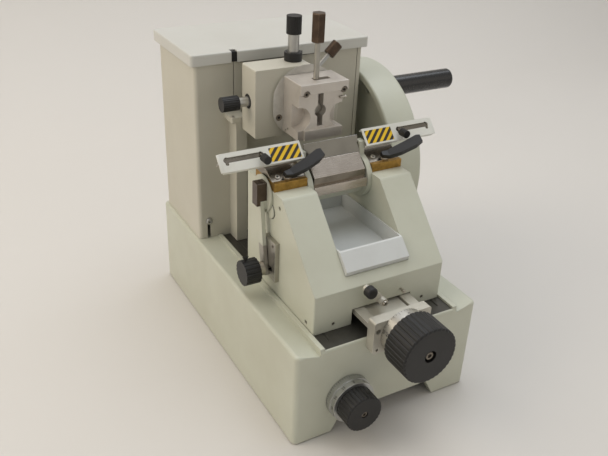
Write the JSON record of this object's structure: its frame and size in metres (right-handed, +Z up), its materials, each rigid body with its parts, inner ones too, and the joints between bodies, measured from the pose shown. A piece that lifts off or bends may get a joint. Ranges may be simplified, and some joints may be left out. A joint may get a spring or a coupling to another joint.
{
  "type": "rotary microtome",
  "caption": "Rotary microtome: cast base with housing, side handwheel, vertical specimen head with tilting clamp, and a knife carriage with holder, guards and waste tray.",
  "frame": {"origin": "middle of the base's footprint, on the bench", "axes": "+Z up, -Y towards the operator, +X towards the handwheel"},
  "size_m": [0.4508, 0.5545, 0.4709],
  "materials": {
    "enamel": "satin grey-green enamel",
    "housing_enamel": "satin warm grey enamel",
    "lid_enamel": "satin light grey enamel",
    "bed_iron": "scraped dark bed",
    "steel": "ground steel",
    "shaft_steel": "polished steel",
    "black_plastic": "matt black",
    "dial_aluminium": "satin turned",
    "bracket_aluminium": "milled",
    "clamp_alloy": "satin, warm grey",
    "brass": "tarnished",
    "lever_bronze": "dark bronze",
    "guard_paint": "semi-gloss off-white",
    "tray_steel": "satin sheet",
    "knife_steel": "ground and polished",
    "rubber": "matt black"
  },
  "bodies": {
    "frame": {"base_casting": "enamel", "foot_pads": "rubber", "slide_bed": "bed_iron", "housing_shell": "housing_enamel", "housing_screw": "shaft_steel", "front_cover": "housing_enamel", "top_lid": "lid_enamel", "guide_column": "enamel", "column_cap": "enamel", "ram_ways": "bed_iron", "shaft_bearings": "bed_iron", "feed_bracket": "bracket_aluminium"},
    "head": {"ram": "steel", "slot_shutter": "housing_enamel", "head_block": "enamel"},
    "swivel": {"tilt_core": "steel"},
    "disc": {"tilt_disc": "dial_aluminium", "clamp_body": "clamp_alloy"},
    "side_knob": {"side_knob_stem": "shaft_steel", "side_knob_cap": "black_plastic"},
    "top_knob": {"top_knob_stem": "shaft_steel", "top_knob_cap": "black_plastic", "knob_index": "black_plastic"},
    "lock_lever": {"lock_lever": "shaft_steel"},
    "clamp_lever": {"clamp_lever": "lever_bronze", "clamp_lever_head": "lever_bronze"},
    "carriage": {"carriage": "enamel", "feed_nut": "brass", "brass_slips": "brass", "clamp_saddles": "steel", "angle_scale": "steel"},
    "left_paddle": {"left_paddle": "black_plastic"},
    "right_paddle": {"right_paddle": "black_plastic"},
    "holder": {"knife_holder": "steel", "front_bar": "bracket_aluminium", "knife": "knife_steel", "knife_rest": "steel", "lower_jaw": "steel", "pressure_plate": "knife_steel", "guard_rails": "steel", "guard_knobs": "black_plastic", "tilt_lever": "enamel", "lever_shoe": "steel", "lever_block": "steel"},
    "left_guard": {"left_guard": "guard_paint"},
    "right_guard": {"right_guard": "guard_paint"},
    "tilt_knob": {"tilt_knob": "black_plastic"},
    "tray": {"waste_tray": "tray_steel"},
    "feed": {"feed_screw": "shaft_steel", "feed_dial": "dial_aluminium", "feed_knob": "black_plastic"},
    "latch": {"latch_arm": "steel", "latch_knob": "black_plastic"},
    "thickness": {"thickness_dial": "dial_aluminium", "thickness_knob": "black_plastic"},
    "wheel": {"handwheel": "enamel", "crankshaft": "steel", "wheel_nut": "shaft_steel", "grip_pin": "shaft_steel"},
    "grip": {"hand_grip": "black_plastic"}
  },
  "joints": [
    {"name": "wheel_turn", "type": "hinge", "parent": "frame", "child": "wheel", "pos_m": [0.14, 0.125, 0.2137], "axis": [1, 0, 0], "continuous": true},
    {"name": "grip_spin", "type": "hinge", "parent": "wheel", "child": "grip", "pos_m": [0.19, 0.085, 0.32301], "axis": [1, 0, 0], "continuous": true},
    {"name": "head_slide", "type": "slide", "parent": "frame", "child": "head", "axis": [0, 0, 1], "range_m": [-0.06, 0]},
    {"name": "tilt_sideways", "type": "hinge", "parent": "head", "child": "swivel", "pos_m": [-0.0035, -0.0345, 0.351], "axis": [0, 0, 1], "range_deg": [-8, 8]},
    {"name": "tilt_up_down", "type": "hinge", "parent": "swivel", "child": "disc", "pos_m": [-0.0035, -0.0345, 0.351], "axis": [1, 0, 0], "range_deg": [-8, 8]},
    {"name": "side_knob_turn", "type": "hinge", "parent": "head", "child": "side_knob", "pos_m": [-0.08, 0.0375, 0.351], "axis": [1, 0, 0], "range_deg": [-361, 361]},
    {"name": "top_knob_turn", "type": "hinge", "parent": "head", "child": "top_knob", "pos_m": [-0.0065, 0.0405, 0.4], "axis": [0, 0, 1], "range_deg": [-361, 361]},
    {"name": "lock_lever_turn", "type": "hinge", "parent": "head", "child": "lock_lever", "pos_m": [0.024, 0.0355, 0.38], "axis": [0, 1, 0], "range_deg": [-25, 25]},
    {"name": "clamp_lever_turn", "type": "hinge", "parent": "disc", "child": "clamp_lever", "pos_m": [-0.004, -0.0165, 0.3514], "axis": [0, 1, 0], "range_deg": [0, 20]},
    {"name": "carriage_slide", "type": "slide", "parent": "frame", "child": "carriage", "axis": [0, 1, 0], "range_m": [-0.02, 0.008]},
    {"name": "feed_turn", "type": "hinge", "parent": "frame", "child": "feed", "pos_m": [0.0035, -0.2495, 0.1412], "axis": [0, 1, 0], "range_deg": [-725, 1805]},
    {"name": "holder_tilt", "type": "hinge", "parent": "carriage", "child": "holder", "pos_m": [0, -0.0555, 0.2655], "axis": [1, 0, 0], "range_deg": [-6, 0]},
    {"name": "tilt_knob_turn", "type": "hinge", "parent": "holder", "child": "tilt_knob", "pos_m": [-0.115, -0.0777, 0.1707], "axis": [1, 0, 0], "range_deg": [-90, 90]},
    {"name": "left_guard_slide", "type": "slide", "parent": "holder", "child": "left_guard", "axis": [1, 0, 0], "range_m": [0, 0.045]},
    {"name": "right_guard_slide", "type": "slide", "parent": "holder", "child": "right_guard", "axis": [1, 0, 0], "range_m": [-0.045, 0]},
    {"name": "left_paddle_turn", "type": "hinge", "parent": "carriage", "child": "left_paddle", "pos_m": [-0.072, -0.0725, 0.28943], "axis": [0, -0.4299, 0.9029], "range_deg": [-40, 0]},
    {"name": "right_paddle_turn", "type": "hinge", "parent": "carriage", "child": "right_paddle", "pos_m": [0.072, -0.0725, 0.28943], "axis": [0, -0.4299, 0.9029], "range_deg": [-40, 0]},
    {"name": "tray_slide", "type": "slide", "parent": "carriage", "child": "tray", "axis": [0, 1, 0], "range_m": [-0.06, 0]},
    {"name": "latch_turn", "type": "hinge", "parent": "carriage", "child": "latch", "pos_m": [-0.0082, -0.1995, 0.1696], "axis": [0, 1, 0], "range_deg": [-20, 45]},
    {"name": "thickness_turn", "type": "hinge", "parent": "frame", "child": "thickness", "pos_m": [-0.0595, -0.2295, 0.055], "axis": [0, 1, 0], "range_deg": [0, 300]}
  ],
  "couplings": [
    {"joint": "feed_turn", "follows": "carriage_slide", "rad_per_m": -1570.8},
    {"joint": "side_knob_turn", "follows": "tilt_sideways", "ratio": 45},
    {"joint": "top_knob_turn", "follows": "tilt_up_down", "ratio": 45}
  ]
}
